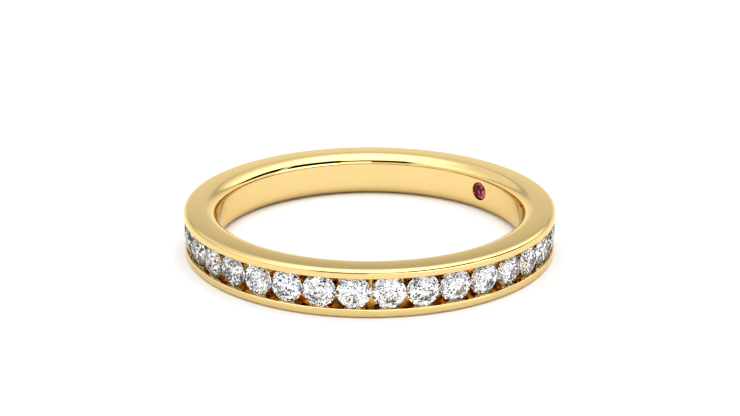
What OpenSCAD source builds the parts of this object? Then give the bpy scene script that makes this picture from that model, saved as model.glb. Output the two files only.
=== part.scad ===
// Yellow gold wedding band with round brilliants channel set across its front
// half, and one small red stone set flush in the bore. The ring lies on its
// side: its axis is Z, its lower side is at z = 0, and the middle of the row of
// stones faces -Y. Millimetres.

/* [Band] */
// Inner diameter, which is the finger size
inner_d = 16.8; // [15:0.1:21]
// Thickness of the band, from the bore to the outside
wall = 1.85; // [1.65:0.05:2]
// Width of the band, which is its height as it lies
band_w = 2.55; // [2.45:0.05:3]
// Radius of the rounded outer edges
outer_edge_r = 0.24; // [0.1:0.01:0.25]
// Radius of the rounded inner edges
inner_edge_r = 0.64; // [0.4:0.01:0.65]

/* [Channel stones] */
// Diameter of each stone
stone_d = 1.72; // [1.64:0.01:1.78]
// Number of stones
stone_count = 18; // [8:1:18]
// Space between the girdles of two stones
stone_space = 0.015; // [0.01:0.005:0.1]
// How far the tables lie below the outside of the rails
table_drop = 0.04; // [0:0.01:0.06]
// Each stone is turned this much further than the one before it
stone_turn = 17; // [0:1:45]

/* [Cut of the stones] */
// Width of the table, as a share of the diameter
table_share = 0.57; // [0.53:0.01:0.62]
// Angle of the crown's main facets
crown_angle = 34.5; // [32:0.5:36]
// Angle of the pavilion's main facets
pavilion_angle = 40.8; // [40:0.1:42]
// How far the star facets reach from the table towards the girdle
star_share = 0.55; // [0.45:0.01:0.6]
// How far the lower girdle facets reach from the girdle towards the culet
lower_share = 0.77; // [0.7:0.01:0.82]
// Thickness of the girdle, as a share of the diameter
girdle_share = 0.024; // [0.015:0.001:0.03]

/* [Channel] */
// Distance between the two rails
channel_w = 1.6; // [1.54:0.01:1.62]
// Radius of the rails' lips beside the stones
lip_r = 0.08; // [0.04:0.01:0.1]
// How far the floor of the channel lies below the girdles
floor_drop = 0.5; // [0.4:0.01:0.55]
// Clearance between a stone and its seat
seat_gap = 0.02; // [0.01:0.005:0.03]

/* [Inner stone] */
// Diameter of the inner stone
ruby_d = 1.16; // [0.9:0.02:1.3]
// Angle of the inner stone from the middle of the back, towards +X
ruby_angle = 51; // [20:1:70]
// How far its table lies below the wall of the bore
ruby_drop = 0.01; // [0:0.01:0.05]

/* [Hidden] */
function padded(i) = str(i < 10 ? "stone_0" : "stone_", i);

bore_r = inner_d / 2;
outer_r = bore_r + wall;
mid_z = band_w / 2;
round_fn = 180;
arc_fn = 64;

// Heights of a stone above and below the middle of its girdle.
function girdle_half(d) = girdle_share * d / 2;
function crown_h(d) = girdle_half(d) + d / 2 * (1 - table_share) * tan(crown_angle);
function pavilion_h(d) = girdle_half(d) + d / 2 * tan(pavilion_angle);

girdle_r = outer_r - table_drop - crown_h(stone_d);
floor_r = girdle_r - floor_drop;
half_w = channel_w / 2;

// Angle from one stone to the next, and from the end stones' outlines to the
// ends of the channel.
stone_pitch = 2 * asin((stone_d + stone_space) / (2 * girdle_r));
end_angle = 0.1;
channel_angle = stone_count * stone_pitch + 2 * end_angle;

// Polar angle of a stone's axis.
function stone_angle(i) = -90 + (i - (stone_count + 1) / 2) * stone_pitch;

ruby_girdle_r = bore_r + ruby_drop + crown_h(ruby_d);

// Points at equal angles on a level circle.
function ring_points(n, r, z, turn = 0) =
    [for (k = [0:n - 1]) [r * cos(360 * k / n + turn), r * sin(360 * k / n + turn), z]];

// A round brilliant, girdle at z = 0 and table up: a table, 8 stars, 8 kites,
// 16 upper girdle facets, a girdle of 16 flats, 16 lower girdle facets and 8
// pavilion mains that meet in a point.
module brilliant(d) {
    r = d / 2;
    g = girdle_half(d);
    table_r = r * table_share;
    star_r = table_r * cos(22.5) + star_share * (r - table_r * cos(22.5));
    lower_r = r * (1 - lower_share);
    star_z = g + (r - star_r * cos(22.5)) * tan(crown_angle);
    lower_z = -g - (r - lower_r * cos(22.5)) * tan(pavilion_angle);

    table = 0;
    star = 8;
    upper = 16;
    lower = 32;
    main = 48;
    culet = 56;
    points = concat(
        ring_points(8, table_r, crown_h(d)),
        ring_points(8, star_r, star_z, 22.5),
        ring_points(16, r, g),
        ring_points(16, r, -g),
        ring_points(8, lower_r, lower_z, 22.5),
        [[0, 0, -pavilion_h(d)]]);
    faces = concat(
        [[for (k = [7:-1:0]) table + k]],
        [for (k = [0:7]) [table + k, table + (k + 1) % 8, star + k]],
        [for (k = [0:7]) [table + k, star + k, upper + 2 * k, star + (k + 7) % 8]],
        [for (k = [0:15]) [upper + (k + 1) % 16, upper + k, star + floor(k / 2)]],
        [for (k = [0:15]) [upper + k, upper + (k + 1) % 16, lower + (k + 1) % 16, lower + k]],
        [for (k = [0:15]) [lower + k, lower + (k + 1) % 16, main + floor(k / 2)]],
        [for (k = [0:7]) [culet, main + (k + 7) % 8, lower + 2 * k, main + k]]);
    polyhedron(points, faces);
}

// Puts its children at a channel stone's girdle, with +Z outwards.
module at_stone(i) {
    rotate([0, 0, stone_angle(i)])
        translate([girdle_r, 0, mid_z])
            rotate([0, 90, 0]) children();
}

// Puts its children at the inner stone's girdle, with +Z towards the finger.
module at_ruby() {
    rotate([0, 0, 90 - ruby_angle])
        translate([ruby_girdle_r, 0, mid_z])
            rotate([0, -90, 0]) children();
}

// The two corner cuts of the section's lower side.
module edge_cuts() {
    difference() {
        translate([outer_r - outer_edge_r, -1]) square([outer_edge_r + 1, outer_edge_r + 1]);
        translate([outer_r - outer_edge_r, outer_edge_r]) circle(r = outer_edge_r, $fn = arc_fn);
    }
    difference() {
        translate([bore_r - 1, -1]) square([inner_edge_r + 1, inner_edge_r + 1]);
        translate([bore_r + inner_edge_r, inner_edge_r]) circle(r = inner_edge_r, $fn = arc_fn);
    }
}

// Section of the plain band: flat sides, with rounded outer and inner edges.
module band_section() {
    difference() {
        translate([bore_r, 0]) square([wall, band_w]);
        edge_cuts();
        translate([0, band_w]) mirror([0, 1]) edge_cuts();
    }
}

// One side of the channel's section, from its middle outwards: the opening with
// its rounded lip, and the groove that holds the edges of the girdles. The lip's
// arc stands just over the outside, so that it meets that wall at an angle.
module half_channel() {
    lip_over = 0.002;
    below = seat_gap / cos(pavilion_angle);
    above = seat_gap / cos(crown_angle);
    groove_w = stone_d / 2 + 0.03;
    g = girdle_half(stone_d);
    ledge = g + (stone_d / 2 - half_w) * tan(pavilion_angle) + below;
    cover = g + (stone_d / 2 - half_w) * tan(crown_angle) + above;
    reach = groove_w - half_w;
    translate([floor_r, 0]) square([outer_r + 1 - floor_r, half_w]);
    polygon([
        [girdle_r - ledge, half_w - 0.01],
        [girdle_r - ledge, half_w],
        [girdle_r - ledge + reach * tan(pavilion_angle), groove_w],
        [girdle_r + cover - reach * tan(crown_angle), groove_w],
        [girdle_r + cover, half_w],
        [girdle_r + cover, half_w - 0.01]]);
    difference() {
        translate([outer_r - lip_r, half_w - 0.01]) square([lip_r + 1, lip_r + 0.01]);
        translate([outer_r - lip_r + lip_over, half_w + lip_r]) circle(r = lip_r, $fn = arc_fn);
    }
}

// The channel that the stones lie in.
module channel() {
    rotate([0, 0, -90 - channel_angle / 2])
        rotate_extrude(angle = channel_angle, $fn = round_fn)
            translate([0, mid_z]) {
                half_channel();
                mirror([0, 1]) half_channel();
            }
}

// The small cone in the channel's floor that a stone's point reaches into.
module point_seat() {
    deep = pavilion_h(stone_d) + 0.035;
    top = floor_drop - 0.05;
    translate([0, 0, -deep + 0.02])
        cylinder(h = deep - 0.02 - top, r1 = 0.02 / tan(pavilion_angle),
                 r2 = (deep - top) / tan(pavilion_angle), $fn = arc_fn);
}

// The drilled seat of the inner stone: an opening that laps over its girdle, a
// pocket for the girdle, and a cone below.
module ruby_seat() {
    r = ruby_d / 2;
    pocket_r = r + 0.02;
    cover = girdle_half(ruby_d) + 0.03 * tan(crown_angle) + seat_gap / cos(crown_angle);
    deep = pavilion_h(ruby_d) + 0.035;
    low = deep - pocket_r * tan(pavilion_angle);
    rotate_extrude($fn = arc_fn)
        polygon([
            [0, -deep + 0.02],
            [0.02 / tan(pavilion_angle), -deep + 0.02],
            [pocket_r, -low],
            [pocket_r, cover],
            [r - 0.03, cover],
            [r - 0.03, 0.6],
            [0, 0.6]]);
}

// The band: one piece of gold, with its channel and its drilled seats. The turn
// puts the seam of the revolved section at the back, away from the channel's ends.
module band() {
    color([0.89, 0.73, 0.38])
        difference() {
            rotate([0, 0, 90]) rotate_extrude($fn = round_fn) band_section();
            channel();
            for (i = [1:stone_count]) at_stone(i) point_seat();
            at_ruby() ruby_seat();
        }
}

// One of the channel's stones, counted from the left end as seen from the front.
module channel_stone(i) {
    color([0.93, 0.96, 0.98])
        at_stone(i) rotate([0, 0, (i * stone_turn) % 45]) brilliant(stone_d);
}

// The small red stone inside the band.
module ruby() {
    color([0.72, 0.1, 0.2])
        at_ruby() rotate([0, 0, 10]) brilliant(ruby_d);
}

band();
for (i = [1:stone_count])
    channel_stone(i);
ruby();
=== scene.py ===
# Polished yellow gold wedding band on its side, with round brilliants channel set
# across its front half and one small red stone set flush in the bore. The ring's
# axis is Z and the middle of the row of stones faces -Y.
import math

import bmesh
import bpy
from mathutils import Matrix, Vector


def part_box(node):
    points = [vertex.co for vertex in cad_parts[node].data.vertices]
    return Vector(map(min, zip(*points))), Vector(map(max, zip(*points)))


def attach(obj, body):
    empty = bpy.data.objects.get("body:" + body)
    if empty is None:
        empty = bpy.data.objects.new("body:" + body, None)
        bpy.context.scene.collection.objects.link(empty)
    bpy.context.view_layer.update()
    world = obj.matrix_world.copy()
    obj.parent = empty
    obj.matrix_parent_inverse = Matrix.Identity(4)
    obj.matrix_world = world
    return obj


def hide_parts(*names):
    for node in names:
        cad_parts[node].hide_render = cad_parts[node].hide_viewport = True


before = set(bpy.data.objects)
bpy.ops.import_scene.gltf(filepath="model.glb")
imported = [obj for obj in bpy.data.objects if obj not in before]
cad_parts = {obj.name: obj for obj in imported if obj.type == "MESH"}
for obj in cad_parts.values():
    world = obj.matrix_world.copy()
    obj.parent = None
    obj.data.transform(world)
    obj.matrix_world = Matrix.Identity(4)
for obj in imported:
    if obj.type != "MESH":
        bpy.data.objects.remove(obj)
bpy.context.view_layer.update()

# The band is one piece of 18 carat yellow gold, turned and polished, with flat
# sides, rounded edges and a channel milled into the front half of its outside.
# It is modelled in millimetres and brought to the frame's metres at the end.
scene = bpy.context.scene
mm = 0.001
band_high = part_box("band")[1]
outer_r = band_high.x / mm
band_w = band_high.z / mm
mid_z = band_w / 2
wall = 1.85
bore_r = outer_r - wall
outer_edge_r = 0.24
outer_edge_steps = 14
inner_edge_r = 0.64
inner_edge_steps = 24
degrees_a_step = 0.5
weld = 1e-4


class Outline:
    """A line drawn in the plane of a section, by its radius r and its height z."""

    def __init__(self, bm, r, z):
        self.bm = bm
        self.last = bm.verts.new((r, 0, z))

    def line(self, *points):
        """Goes straight from point to point."""
        for r, z in points:
            self.last = bmesh.ops.extrude_vert_indiv(self.bm, verts=[self.last])["verts"][0]
            self.last.co = (r, 0, z)

    def arc(self, r, z, degrees, steps):
        """Goes round the centre at r and z."""
        turned = bmesh.ops.spin(self.bm, geom=[self.last], cent=(r, 0, z), axis=(0, -1, 0),
                                angle=math.radians(degrees), steps=steps)
        self.last = next(v for v in turned["geom_last"] if isinstance(v, bmesh.types.BMVert))


def side_outline(bm):
    """Half a section from the middle of the bore, round the lower edges, to the outside."""
    outline = Outline(bm, bore_r, mid_z)
    outline.line((bore_r, inner_edge_r))
    outline.arc(bore_r + inner_edge_r, inner_edge_r, 90, inner_edge_steps)
    outline.line((outer_r - outer_edge_r, 0))
    outline.arc(outer_r - outer_edge_r, outer_edge_r, 90, outer_edge_steps)
    return outline


def revolve(bm, start, sweep):
    """Mirrors the half outline in bm to a whole section, and spins that through the sweep."""
    bmesh.ops.translate(bm, verts=bm.verts, vec=(0, 0, -mid_z))
    bmesh.ops.mirror(bm, geom=bm.verts[:] + bm.edges[:], matrix=Matrix(), merge_dist=weld, axis="Z")
    bmesh.ops.translate(bm, verts=bm.verts, vec=(0, 0, mid_z))
    bmesh.ops.rotate(bm, verts=bm.verts, cent=(0, 0, 0), matrix=Matrix.Rotation(math.radians(start), 3, "Z"))
    bmesh.ops.spin(bm, geom=bm.verts[:] + bm.edges[:], cent=(0, 0, 0), axis=(0, 0, 1),
                   angle=math.radians(sweep), steps=round(sweep / degrees_a_step))


# The channel is as long as the row of stones that lies in it, and its floor lies
# under their girdles. The stones have the usual proportions of a round brilliant.
stone_d = 1.72
stone_count = 18
stone_space = 0.015
table_drop = 0.04
table_share = 0.57
girdle_share = 0.024
crown_slope = math.tan(math.radians(34.5))
pavilion_slope = math.tan(math.radians(40.8))


def girdle_half(d):
    return girdle_share * d / 2


def crown_h(d):
    return girdle_half(d) + d / 2 * (1 - table_share) * crown_slope


def pavilion_h(d):
    return girdle_half(d) + d / 2 * pavilion_slope


girdle_r = outer_r - table_drop - crown_h(stone_d)
stone_pitch = 2 * math.degrees(math.asin((stone_d + stone_space) / (2 * girdle_r)))
end_angle = 0.1
channel_angle = stone_count * stone_pitch + 2 * end_angle
floor_drop = 0.5
floor_r = girdle_r - floor_drop
half_w = 0.8
lip_r = 0.08
lip_z = mid_z - half_w - lip_r
lip_steps = 8

channelled = bmesh.new()
outline = side_outline(channelled)
outline.line((outer_r, lip_z))
outline.arc(outer_r - lip_r, lip_z, 90, lip_steps)
outline.line((floor_r, mid_z - half_w), (floor_r, mid_z))
revolve(channelled, -90 - channel_angle / 2, channel_angle)
band_mesh = bpy.data.meshes.new("gold_band")
channelled.to_mesh(band_mesh)
channelled.free()

ring = bmesh.new()
outline = side_outline(ring)
outline.line((outer_r, lip_z), (outer_r, mid_z))
revolve(ring, -90 + channel_angle / 2, 360 - channel_angle)
ring.from_mesh(band_mesh)
bmesh.ops.remove_doubles(ring, verts=ring.verts, dist=weld)
bmesh.ops.holes_fill(ring, edges=[e for e in ring.edges if e.is_boundary], sides=0)
bmesh.ops.recalc_face_normals(ring, faces=ring.faces)
ring.to_mesh(band_mesh)
ring.free()
gold_band = bpy.data.objects.new("gold_band", band_mesh)
scene.collection.objects.link(gold_band)

# Every stone has its own seat. A round cutter notches the walls of the channel
# for the girdle and drills the floor for the point. The inner stone's seat has an
# opening that laps over its girdle. All are cut at once.
ruby_d = 1.16
ruby_angle = 51
ruby_turn = math.radians(90 - ruby_angle)
ruby_drop = 0.01
ruby_girdle_r = bore_r + ruby_drop + crown_h(ruby_d)
ruby_gap = 0.02
ruby_lap = 0.03
ruby_opening_h = 0.6
stone_gap = 0.006
wall_lap = 0.01
notch_h = 0.1
point_room = 0.035
crown_room = 0.005
cutter_tip = 0.02
cutter_steps = 72


def stone_place(number):
    """Where the girdle of a channel stone lies, with +Z outwards."""
    angle = math.radians(-90 + (number - (stone_count + 1) / 2) * stone_pitch)
    return (Matrix.Rotation(angle, 4, "Z") @ Matrix.Translation((girdle_r, 0, mid_z))
            @ Matrix.Rotation(math.radians(90), 4, "Y"))


def cutter(place, d, pocket_r, rim_r, top):
    """A round cutter as wide as the pocket, closing in over the crown to the rim, up to the top."""
    bm = bmesh.new()
    deep = pavilion_h(d) + point_room
    cover = girdle_half(d) + (pocket_r - rim_r) * crown_slope
    side = Outline(bm, 0, cutter_tip - deep)
    side.line((cutter_tip / pavilion_slope, cutter_tip - deep),
              (pocket_r, pocket_r * pavilion_slope - deep),
              (pocket_r, girdle_half(d) + crown_room),
              (rim_r, cover + crown_room),
              (rim_r, top),
              (0, top))
    bmesh.ops.spin(bm, geom=bm.verts[:] + bm.edges[:], cent=(0, 0, 0), axis=(0, 0, 1),
                   angle=math.radians(360), steps=cutter_steps, use_merge=True)
    bmesh.ops.remove_doubles(bm, verts=bm.verts, dist=weld)
    bmesh.ops.transform(bm, matrix=place, verts=bm.verts)
    bmesh.ops.recalc_face_normals(bm, faces=bm.faces)
    return bm


ruby_place = (Matrix.Rotation(ruby_turn, 4, "Z") @ Matrix.Translation((ruby_girdle_r, 0, mid_z))
              @ Matrix.Rotation(math.radians(-90), 4, "Y"))
drills = cutter(ruby_place, ruby_d, ruby_d / 2 + ruby_gap, ruby_d / 2 - ruby_lap, ruby_opening_h)
drill_mesh = bpy.data.meshes.new("drills")
for number in range(1, stone_count + 1):
    drill = cutter(stone_place(number), stone_d, stone_d / 2 + stone_gap, half_w - wall_lap, notch_h)
    drill.to_mesh(drill_mesh)
    drill.free()
    drills.from_mesh(drill_mesh)
drills.to_mesh(drill_mesh)
drills.free()
drill_set = bpy.data.objects.new("drills", drill_mesh)
scene.collection.objects.link(drill_set)

cut = gold_band.modifiers.new("seats", "BOOLEAN")
cut.operation = "DIFFERENCE"
cut.solver = "EXACT"
cut.object = drill_set
band_mesh = bpy.data.meshes.new_from_object(
    gold_band.evaluated_get(bpy.context.evaluated_depsgraph_get()))
gold_band.modifiers.clear()
gold_band.data = band_mesh
bpy.data.objects.remove(drill_set)
band_mesh.transform(Matrix.Scale(mm, 4))
band_mesh.shade_smooth()
band_mesh.set_sharp_from_angle(angle=math.radians(20))
even = gold_band.modifiers.new("even", "WEIGHTED_NORMAL")
even.keep_sharp = True
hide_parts("band")
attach(gold_band, "root")


# The gold is mirror polished. The wheel leaves very faint lines round the ring and
# soft clouds in the shine. The milled channel is a little duller, painted a deeper
# gold as painted shade in its recess, and spotted with painted light that the side
# stones throw on it.
class Wire:
    """A socket of a node tree. Arithmetic on it adds Math nodes."""

    def __init__(self, tree, socket=None):
        self.tree = tree
        self.socket = socket

    def node(self, kind, settings=None, inputs=None, output=0):
        """Adds a node, sets it up, feeds its sockets and returns one of its outputs."""
        made = self.tree.nodes.new(kind)
        for name, value in (settings or {}).items():
            if name == "stops":
                while len(made.color_ramp.elements) < len(value):
                    made.color_ramp.elements.new(1)
                for element, (place, tone) in zip(made.color_ramp.elements, value):
                    element.position = place
                    element.color = (tone, tone, tone, 1)
            else:
                setattr(made, name, value)
        for name, value in (inputs or {}).items():
            if isinstance(value, Wire):
                self.tree.links.new(value.socket, made.inputs[name])
            else:
                made.inputs[name].default_value = value
        return Wire(self.tree, made.outputs[output])

    def math(self, operation, *values):
        return self.node("ShaderNodeMath", {"operation": operation}, dict(enumerate(values)))

    def size(self):
        """This without its sign."""
        return self.math("ABSOLUTE", self)

    def blend(self, first, second):
        """The first colour where this is 0, and the second where it is 1."""
        return self.node("ShaderNodeMix", {"data_type": "RGBA"}, {0: self, 6: first, 7: second}, 2)

    def tinted(self, tint):
        """This colour times the tint."""
        return self.node("ShaderNodeMix", {"data_type": "RGBA", "blend_type": "MULTIPLY"},
                         {0: 1, 6: tint, 7: self}, 2)

    def between(self, low, high):
        """0 at low, 1 at high, smooth between them and level past them. Low may be the greater."""
        return self.node("ShaderNodeMapRange", {"interpolation_type": "SMOOTHSTEP"},
                         {"Value": self, "From Min": low, "From Max": high})

    def noise(self, scale, detail):
        """Soft noise at this place."""
        return self.node("ShaderNodeTexNoise", {}, {"Vector": self, "Scale": scale, "Detail": detail})

    def __add__(self, other):
        return self.math("ADD", self, other)

    def __sub__(self, other):
        return self.math("SUBTRACT", self, other)

    def __rsub__(self, other):
        return self.math("SUBTRACT", other, self)

    def __mul__(self, other):
        return self.math("MULTIPLY", self, other)

    def __lt__(self, other):
        return self.math("LESS_THAN", self, other)

    def __gt__(self, other):
        return self.math("GREATER_THAN", self, other)

    __radd__ = __add__
    __rmul__ = __mul__


def new_finish(name):
    """A new material with its Principled shader, and a wire to add nodes with."""
    finish = bpy.data.materials.new(name)
    finish.use_nodes = True
    return finish, finish.node_tree.nodes["Principled BSDF"], Wire(finish.node_tree)


def feed(shader, **inputs):
    """Sets the shader's sockets to numbers and colours, or links wires to them."""
    for name, value in inputs.items():
        socket = shader.inputs[name.replace("_", " ")]
        if isinstance(value, Wire):
            value.tree.links.new(value.socket, socket)
        else:
            socket.default_value = value


def parts(vector):
    """The three parts of a vector."""
    return [vector.node("ShaderNodeSeparateXYZ", inputs={0: vector}, output=i) for i in range(3)]


def place_on_piece(wire):
    """The place on the piece in millimetres."""
    place = wire.node("ShaderNodeTexCoord", output="Object")
    return wire.node("ShaderNodeVectorMath", {"operation": "SCALE"}, {0: place, "Scale": 1 / mm})


def distance(a, b):
    """How far a place lies that is a off along one axis, and b along another."""
    square = a * a + b * b
    return square.math("SQRT", square)


bright_gold = (0.80, 0.595, 0.26, 1)
deep_gold = (0.77, 0.565, 0.24, 1)
# Painted shade and light in the channel: a deeper, darker gold, and a lighter gold for the spots of light
# that the side stones throw.
painted_shade_milled_gold = (0.80, 0.54, 0.20, 1)
painted_light_gold = (0.95, 0.74, 0.40, 1)
gold_edge_tint = (0.98, 0.92, 0.75, 1)
lines_a_mm = 30
breaks_a_mm = 0.35

gold, shader, wire = new_finish("polished_gold")
place = place_on_piece(wire)
x, y, z = parts(place)
radius = distance(x, y)
clouds = place.noise(scale=1.1, detail=4)
drawn_out = wire.node("ShaderNodeVectorMath", {"operation": "MULTIPLY"},
                      {0: place, 1: (breaks_a_mm, breaks_a_mm, lines_a_mm)})
lines = wire.node("ShaderNodeTexNoise", {"noise_dimensions": "4D"},
                  {"Vector": drawn_out, "W": radius * lines_a_mm, "Scale": 1, "Detail": 2})
# Painted light: spots of light thrown by the side stones, on the channel away from its middle.
painted_light_spots = place.noise(scale=5, detail=2).between(0.42, 0.56) * x.size().between(1.5, 6)
between_walls = (z - mid_z).size().between(half_w + 0.06, half_w - 0.02)
under_rails = radius.between(girdle_r + 0.15, girdle_r + 0.05) * radius.between(bore_r + 0.3, bore_r + 0.6)
milled = between_walls * under_rails
feed(shader,
     Base_Color=milled.blend(clouds.blend(bright_gold, deep_gold), painted_light_spots.blend(painted_shade_milled_gold, painted_light_gold)),
     Metallic=1.0,
     Specular_Tint=gold_edge_tint,
     Roughness=0.02 + clouds * 0.03 + lines * 0.01 + milled * 0.12,
     Normal=wire.node("ShaderNodeBump", {}, {"Strength": 0.05, "Distance": 0.01 * mm, "Height": lines}))
band_mesh.materials.clear()
band_mesh.materials.append(gold)

# The eighteen brilliants are clear diamonds of 1.7 mm, held by their girdles in
# the notched walls of the channel. Their fire is painted as faint tints of the
# facets, and the dark reflections in their backs as painted dark patches. The last
# stones at both ends, which face sideways, get the most painted dark patches and
# are the darkest.
facet_steps = 40
diamond_clear = (1, 1, 1, 1)
diamond_painted_dark = (0.0, 0.0, 0.02, 1)
diamond_shine = (0.5, 0.5, 0.52, 1)


def painted_facet_light(place, back, patch_size, painted_tints, shades, painted_dark_share, clear, dark):
    """A painted tint for fire and a painted tone for every small patch of a facet. The given share of those
    on the back is painted dark, for dark reflections.
    """
    facet = place.node("ShaderNodeNewGeometry", output="True Normal")
    facet = place.node("ShaderNodeVectorMath", {"operation": "SCALE"}, {0: facet, "Scale": facet_steps})
    facet = place.node("ShaderNodeVectorMath", {"operation": "FLOOR"}, {0: facet})
    patch = place.node("ShaderNodeTexVoronoi", {}, {"Vector": place, "Scale": 1 / patch_size}, "Color")
    patch = place.node("ShaderNodeVectorMath", {}, {0: facet, 1: patch})
    tone = place.node("ShaderNodeTexWhiteNoise", {}, {"Vector": patch})
    hue = place.node("ShaderNodeTexWhiteNoise", {"noise_dimensions": "4D"}, {"Vector": patch, "W": 1})
    tint = place.node("ShaderNodeCombineColor", {"mode": "HSV"}, {0: hue, 1: painted_tints, 2: 1})
    shade = (back * (tone * shades + (tone < painted_dark_share))).blend(clear, dark)
    return shade.tinted(tint)


def dress(node, finish):
    """Gives a stone its finish."""
    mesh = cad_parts[node].data
    mesh.materials.clear()
    mesh.materials.append(finish)


diamond, shader, wire = new_finish("diamond")
place = place_on_piece(wire)
x, y, z = parts(place)
pavilion = distance(x, y) < girdle_r - girdle_half(stone_d)
# Painted shade: more painted dark patches in the stones at both ends, which face sideways, and a few less a
# little way out from the middle.
painted_dark_share = 0.18 - 0.06 * x.size().between(1, 4) + 0.25 * x.size().between(8.2, 9.4)
feed(shader,
     Base_Color=painted_facet_light(place, pavilion, patch_size=0.17, painted_tints=0.07, shades=0.03,
                             painted_dark_share=painted_dark_share, clear=diamond_clear, dark=diamond_painted_dark),
     Metallic=pavilion,
     Specular_Tint=diamond_shine,
     Roughness=0.0,
     IOR=2.417,
     Transmission_Weight=1.0)
for number in range(1, stone_count + 1):
    dress("stone_%02d" % number, diamond)

# The small stone in the bore is a red ruby, clear in its middle and painted darker
# round its rim, as painted shade where its seat shades it. The painted shade reaches
# further in from the side that lies nearer the front. Its facets carry painted tints
# and painted dark patches as the diamonds do.
ruby_clear = (1, 0.60, 0.68, 1)
ruby_painted_dark = (0.16, 0.0, 0.005, 1)
ruby_painted_rim_shade = (0.16, 0.01, 0.0, 1)
ruby_shine = (0.12, 0.06, 0.06, 1)
shade_reach = 0.06

ruby, shader, wire = new_finish("ruby")
place = place_on_piece(wire)
x, y, z = parts(place)
pavilion = distance(x, y) > ruby_girdle_r + girdle_half(ruby_d)
aside = y * math.cos(ruby_turn) - x * math.sin(ruby_turn) - shade_reach
# Painted shade round the ruby's rim, where its seat shades it, reaching further in on the side nearer the
# front.
rim = distance(aside, z - mid_z).between(0.72 * ruby_d / 2, 0.92 * ruby_d / 2)
facets = painted_facet_light(place, pavilion, patch_size=0.30, painted_tints=0.16, shades=0.05,
                      painted_dark_share=0.06, clear=ruby_clear, dark=ruby_painted_dark)
feed(shader,
     Base_Color=rim.blend(facets, ruby_painted_rim_shade),
     Metallic=pavilion,
     Specular_Tint=ruby_shine,
     Roughness=0.0,
     IOR=1.77,
     Transmission_Weight=1.0)
dress("ruby", ruby)

# The ring lies on a plain pale table of fine matt card.
table = bmesh.new()
bmesh.ops.create_circle(table, cap_ends=True, segments=96, radius=900 * mm)
table_mesh = bpy.data.meshes.new("table")
table.to_mesh(table_mesh)
table.free()
table_top = bpy.data.objects.new("table", table_mesh)
scene.collection.objects.link(table_top)
paper, shader, wire = new_finish("paper")
grain = place_on_piece(wire).noise(scale=3, detail=5)
feed(shader,
     Base_Color=grain.blend((0.76, 0.76, 0.77, 1), (0.78, 0.78, 0.79, 1)),
     Specular_IOR_Level=0.0,
     Roughness=1.0)
table_mesh.materials.append(paper)

# Plain soft studio light: a wide soft light overhead, a pale wall that darkens
# upwards behind the ring, and a dark gap in front between the soft light and a
# low white card. Turn is the angle round the ring from its front, in radians, to
# the right of it where it is positive. Up is 0 at the horizon and 1 overhead.
world = bpy.data.worlds.new("studio")
scene.world = world
world.use_nodes = True
wire = Wire(world.node_tree)
across, behind, up = parts(wire.node("ShaderNodeTexCoord"))
turn = across.math("ARCTAN2", across, behind * -1)
side = turn.size()
half_turn = 3.14
wall_stops = [(0.00, 1.3), (0.12, 1.22), (0.24, 1.08), (0.30, 1.05),
              (0.32, 0.99), (0.345, 0.87), (0.375, 0.74), (0.41, 0.63)]
wall_tone = wire.node("ShaderNodeValToRGB", {"stops": wall_stops}, {0: up + (half_turn - side) * 0.08})

right = turn.between(0.30, 0.50)
middle = turn.between(-0.05, -0.02) * turn.between(0.40, 0.37)
slit = turn.between(1.18, 1.21) * turn.between(1.34, 1.31)
gap = (up - middle * 0.11 + 0.07 * turn.between(1.5, 1.7)).between(0.27, 0.30)
gap_tone = 1.35 - 1.34 * turn.between(-0.75, -0.5) + 0.85 * slit
card_left = 0.4 * turn.between(-0.8, -0.4) - 0.4 * turn.between(-0.6, -0.5) * turn.between(0.0, -0.05)
card_tone = 1.0 + card_left + 0.25 * middle + 1.8 * right * turn.between(1.42, 1.22)
front_tone = card_tone + gap * (gap_tone - card_tone)
front = turn.between(-2.0, -1.6) * turn.between(2.15, 1.95)
low_tone = wall_tone + front * (front_tone - wall_tone)

front_rise = turn.between(2.2, 1.25) * turn.between(-1.0, -0.6) * (0.25 + 0.07 * right)
soft_edge = 0.32 + 0.10 * side.between(2.1, half_turn) + front_rise
side_tone = 1.05 + 1.15 * turn.between(2.95, 2.0) * turn.between(-2.3, -0.4)
soft_tone = side_tone + (3.0 - side_tone) * up.between(0.75, 1.05)
soft = ((up - soft_edge) * (8 + 25 * front)).between(0, 1)
light = low_tone + soft * (soft_tone - low_tone)

# Light that comes through a stone is never darker than a pale room. Seen past the
# ring, the room is white.
pale_room = 1.15
white = (1.0, 1.0, 1.0, 1)
through_stone = wire.node("ShaderNodeLightPath", output="Is Transmission Ray")
light = light.math("MAXIMUM", light, through_stone * pale_room)
seen = wire.node("ShaderNodeLightPath", output="Is Camera Ray")
feed(world.node_tree.nodes["Background"], Color=seen.blend(light, white))

# The camera looks down on the ring from about a hand's width away, and the
# picture is 740 by 416 with the ring filling half its width.
azimuth = math.radians(-0.48)
elevation = math.radians(19.711)
reach = 79.549 * mm
aim = Vector((0.021, 0, 2.136)) * mm
camera_data = bpy.data.cameras.new("camera")
camera_data.sensor_width = 36
camera_data.lens = 69.76
camera_data.clip_start = 1 * mm
camera_data.clip_end = 5
camera = bpy.data.objects.new("camera", camera_data)
scene.collection.objects.link(camera)
away = Vector((math.sin(azimuth) * math.cos(elevation),
               -math.cos(azimuth) * math.cos(elevation),
               math.sin(elevation)))
camera.location = aim + away * reach
camera.rotation_euler = away.to_track_quat("Z", "Y").to_euler()
scene.camera = camera

# Light passes many facets before it leaves a stone, and none of it is dimmed.
scene.view_settings.view_transform = "Standard"
scene.cycles.max_bounces = 32
scene.cycles.transmission_bounces = 32
scene.cycles.glossy_bounces = 16
scene.cycles.sample_clamp_indirect = 0
